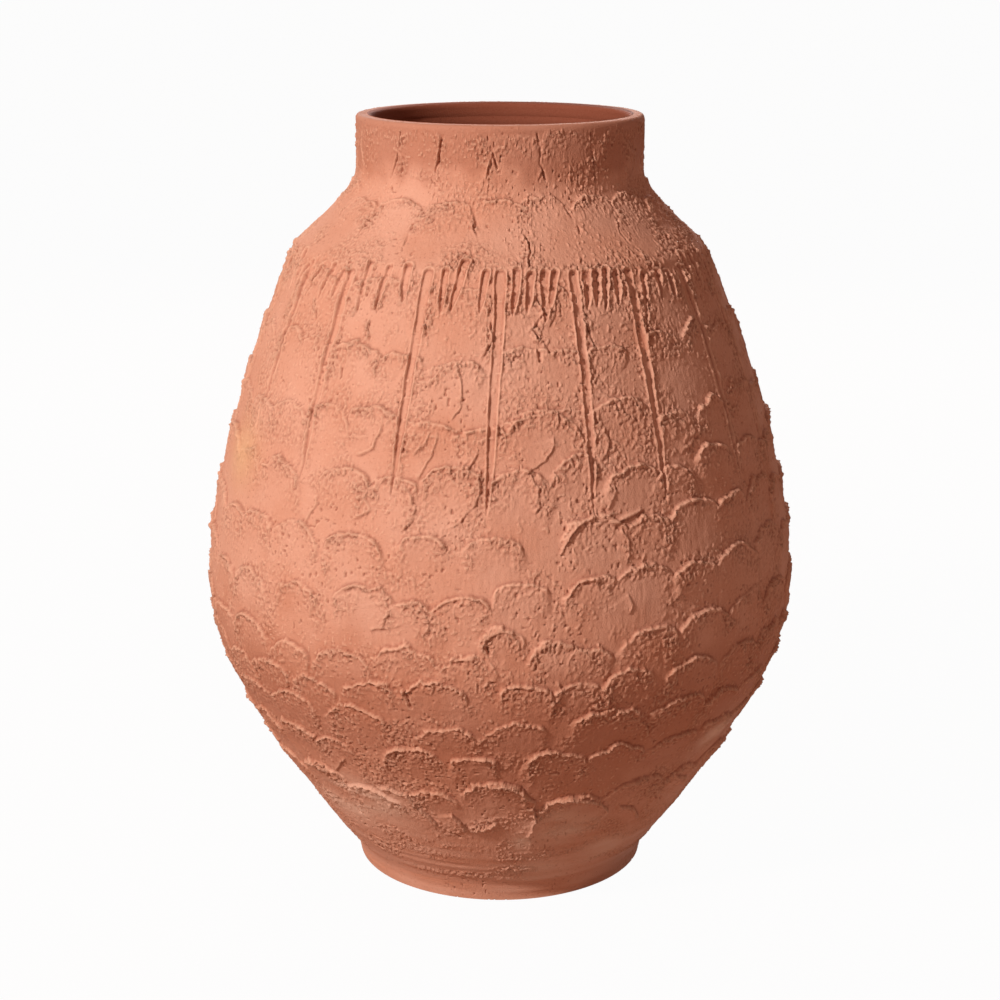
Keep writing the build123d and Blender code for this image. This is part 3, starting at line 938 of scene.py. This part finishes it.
def terracotta():
    """Unglazed red earthenware, wiped by hand."""
    material = bpy.data.materials.new("wiped_terracotta")
    material.use_nodes = True
    tree = material.node_tree
    shader = tree.nodes["Principled BSDF"]
    part = {name: add(tree, "ShaderNodeAttribute", attribute_name=name).outputs["Fac"] for name in skin}
    place = add(tree, "ShaderNodeTexCoord").outputs["Object"]
    drawn = add(tree, "ShaderNodeMapping", {"Vector": place, "Scale": TORN_STRETCH}).outputs[0]
    patterns = {
        "mottle": {"Vector": place, "Scale": PER_METRE / MOTTLE_MM, "Detail": 4.0},
        "speckle": {"Vector": place, "Scale": PER_METRE / SPECKLE_MM, "Detail": 2.0},
        "grit": {"Vector": place, "Scale": PER_METRE / GRIT_MM, "Detail": 2.0},
        "torn": {"Vector": drawn, "Scale": PER_METRE / TORN_MM, "Detail": 3.0, "Roughness": 0.6},
    }
    grain = {}
    for name, sockets in patterns.items():
        grain[name] = add(tree, "ShaderNodeTexNoise", sockets).outputs["Fac"]

    # Each smear has its own tone, mottled and speckled. Limits turn the patterns into shares: how pink the
    # clay is, how much painted shade its gaps and pits get, how much painted highlight the tops of its
    # crumbs get, and how rough it is.
    sockets = {0: part["tone"], 1: TONE_AMOUNT, 2: grain["mottle"]}
    shift = add(tree, "ShaderNodeMath", sockets, operation="MULTIPLY_ADD").outputs[0]
    sockets = {0: grain["speckle"], 1: SPECKLE_AMOUNT, 2: shift}
    spotted = add(tree, "ShaderNodeMath", sockets, operation="MULTIPLY_ADD").outputs[0]
    limits = {
        "pink": {"Value": spotted, "From Min": 0.05, "From Max": 1.3},
        # Painted shade in the gaps between crumbs and in small pits.
        "gap": {"Value": grain["torn"], "From Min": 0.5, "From Max": 0.36, "To Max": 0.15},
        "painted_pit_shade": {"Value": grain["speckle"], "From Min": 0.34, "From Max": 0.26, "To Max": 0.45},
        # A painted highlight on the tops of crumbs.
        "top": {"Value": grain["torn"], "From Min": 0.5, "From Max": 0.68, "To Max": 0.3},
        "rough": {"Value": part["crumb"], "To Min": 0.78, "To Max": 0.95},
    }
    level = {}
    for name, sockets in limits.items():
        level[name] = add(tree, "ShaderNodeMapRange", sockets).outputs[0]

    # The painted shade of the gaps, the painted highlight of the crumb tops and the torn grain show only
    # where the clay is torn.
    torn_parts = []
    for value in (level["gap"], level["top"], grain["torn"]):
        node = add(tree, "ShaderNodeMath", {0: value, 1: part["crumb"]}, operation="MULTIPLY")
        torn_parts.append(node.outputs[0])
    painted_gap_shade, painted_crumb_highlight, torn_grain = torn_parts
    painted_shade_specks = add(tree, "ShaderNodeMath", {0: level["painted_pit_shade"], 1: painted_gap_shade}, operation="MAXIMUM").outputs[0]
    # Painted shade: hollows, the gaps between crumbs and pits are darkened towards the deep red.
    sockets = {0: part["painted_shade"], 1: PAINTED_SHADE_AMOUNT, 2: painted_shade_specks}
    painted_shade_share = add(tree, "ShaderNodeMath", sockets, operation="MULTIPLY_ADD", use_clamp=True).outputs[0]
    # Edge wear with a painted highlight on what stands out, and a painted highlight on crumb tops, towards
    # a pale red.
    sockets = {0: part["wear_and_highlight"], 1: WEAR_AND_HIGHLIGHT_AMOUNT, 2: painted_crumb_highlight}
    wear_and_highlight_share = add(tree, "ShaderNodeMath", sockets, operation="MULTIPLY_ADD", use_clamp=True).outputs[0]

    colour = linear(CLAY_RED)
    coats = [
        (level["pink"], CLAY_PINK),
        (part["darker_red_and_inside_shade"], CLAY_DARKER_RED),
        (painted_shade_share, CLAY_PAINTED_SHADE),
        (wear_and_highlight_share, CLAY_WEAR_AND_HIGHLIGHT),
        (part["bloom"], CLAY_PALE),
        (part["flush"], CLAY_OCHRE),
    ]
    for share, coat in coats:
        sockets = {MIX_SHARE: share, MIX_UNDER: colour, MIX_OVER: linear(coat)}
        colour = add(tree, "ShaderNodeMix", sockets, data_type="RGBA").outputs[MIX_RESULT]
    tree.links.new(colour, shader.inputs["Base Color"])

    # The finest grain is only bump: grit everywhere, and more where the clay is torn.
    sockets = {0: grain["grit"], 1: GRIT_AMOUNT, 2: torn_grain}
    gritty = add(tree, "ShaderNodeMath", sockets, operation="MULTIPLY_ADD").outputs[0]
    bump = add(tree, "ShaderNodeBump", {"Height": gritty, "Strength": 1.0, "Distance": GRAIN_HEIGHT})
    tree.links.new(bump.outputs["Normal"], shader.inputs["Normal"])
    tree.links.new(level["rough"], shader.inputs["Roughness"])
    shader.inputs["Specular IOR Level"].default_value = 0.15
    return material


clay_material = terracotta()
for piece in pieces.values():
    piece.data.materials.append(clay_material)
print("material:", clay_material.name)

# %% [markdown]
# Every piece rides on the one body of the jar, and stands for its coil and the band smeared over it.

# %% Set the pieces on the frame
for node, piece in pieces.items():
    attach(piece, "root")
    band = node.replace("wall_coil", "smear_band")
    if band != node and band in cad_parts:
        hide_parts(node, band)
    else:
        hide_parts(node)
print("bands covered:", sum(name.startswith("smear_band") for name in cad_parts))

# %% [markdown]
# The jar stands on a plain white floor. To look at, floor and world are white, but to the clay they
# give only the faint warm light that a studio throws back. The floor keeps a little of its own shade,
# so that the jar's shadow stays on it.

# %% White floor
FLOOR_SIZE = 80.0
FLOOR_DROP = 0.0005
FLOOR_WHITE = 0.97
FLOOR_BOUNCE = "#B49684"
WORLD_BOUNCE = "#FFBEA2"
WORLD_STRENGTH = 0.22
WHITE = "#FFFFFF"


def looked_at(tree):
    """1 for rays that look at the backdrop, straight, in a gloss or through glass, and 0 for its light."""
    ray = add(tree, "ShaderNodeLightPath").outputs
    seen = ray["Is Camera Ray"]
    for way in ("Is Glossy Ray", "Is Transmission Ray"):
        seen = add(tree, "ShaderNodeMath", {0: seen, 1: ray[way]}, operation="MAXIMUM").outputs[0]
    return seen


bpy.ops.object.select_all(action="DESELECT")
bpy.ops.mesh.primitive_plane_add(size=FLOOR_SIZE, location=(0.0, 0.0, -FLOOR_DROP))
floor = bpy.context.object
floor.name = "studio_floor"
paper = bpy.data.materials.new("white_paper")
paper.use_nodes = True
tree = paper.node_tree
tree.nodes.clear()
sheet = add(tree, "ShaderNodeBsdfDiffuse", {"Color": linear(FLOOR_BOUNCE)})
glow = add(tree, "ShaderNodeEmission", {"Color": linear(WHITE), "Strength": 1.0})
seen = add(tree, "ShaderNodeMath", {0: looked_at(tree), 1: FLOOR_WHITE}, operation="MULTIPLY")
both = add(tree, "ShaderNodeMixShader", {0: seen.outputs[0], 1: sheet.outputs[0], 2: glow.outputs[0]})
add(tree, "ShaderNodeOutputMaterial", {"Surface": both.outputs[0]})
floor.data.materials.append(paper)
print("floor:", floor.name)

# %% [markdown]
# A small lamp stands high on the left and models the relief, a large weak one stands low in front on
# the right, and a third lights the jar from behind. The world fills in the rest.

# %% World and lamps
LAMPS = [
    ("key_lamp", (-2.4, -2.4, 2.6), 0.4, 164.0),
    ("fill_lamp", (1.3, -3.2, 0.7), 2.0, 13.0),
    ("back_lamp", (0.0, 3.2, 2.0), 1.6, 75.0),
]
LAMP_TARGET = Vector((0.0, 0.0, 0.42))

world = bpy.data.worlds.new("studio")
bpy.context.scene.world = world
world.use_nodes = True
tree = world.node_tree
tree.nodes.clear()
fill = add(tree, "ShaderNodeBackground", {"Color": linear(WORLD_BOUNCE), "Strength": WORLD_STRENGTH})
white = add(tree, "ShaderNodeBackground", {"Color": linear(WHITE), "Strength": 1.0})
both = add(tree, "ShaderNodeMixShader", {0: looked_at(tree), 1: fill.outputs[0], 2: white.outputs[0]})
add(tree, "ShaderNodeOutputWorld", {"Surface": both.outputs[0]})

for name, place, size, power in LAMPS:
    bpy.ops.object.light_add(type="AREA", location=place)
    lamp = bpy.context.object
    lamp.name = name
    lamp.data.size = size
    lamp.data.energy = power
    aim = LAMP_TARGET - Vector(place)
    lamp.rotation_euler = aim.to_track_quat("-Z", "Y").to_euler()
print("lamps:", len(LAMPS))

# %% [markdown]
# The camera looks down at the jar from a little above its rim, through a long lens, so that the mouth
# shows as a narrow ellipse.

# %% Camera
CAMERA_PLACE = (0.0, -2.1584, 0.982)
CAMERA_TILT_DOWN = 15.294
CAMERA_LENS = 75.5
SENSOR_WIDTH = 36.0
camera_turn = (math.radians(90.0 - CAMERA_TILT_DOWN), 0.0, 0.0)
bpy.ops.object.camera_add(location=CAMERA_PLACE, rotation=camera_turn)
camera = bpy.context.object
camera.data.lens = CAMERA_LENS
camera.data.sensor_width = SENSOR_WIDTH
bpy.context.scene.camera = camera
bpy.context.scene.view_settings.view_transform = "Standard"
print("camera at", CAMERA_PLACE)
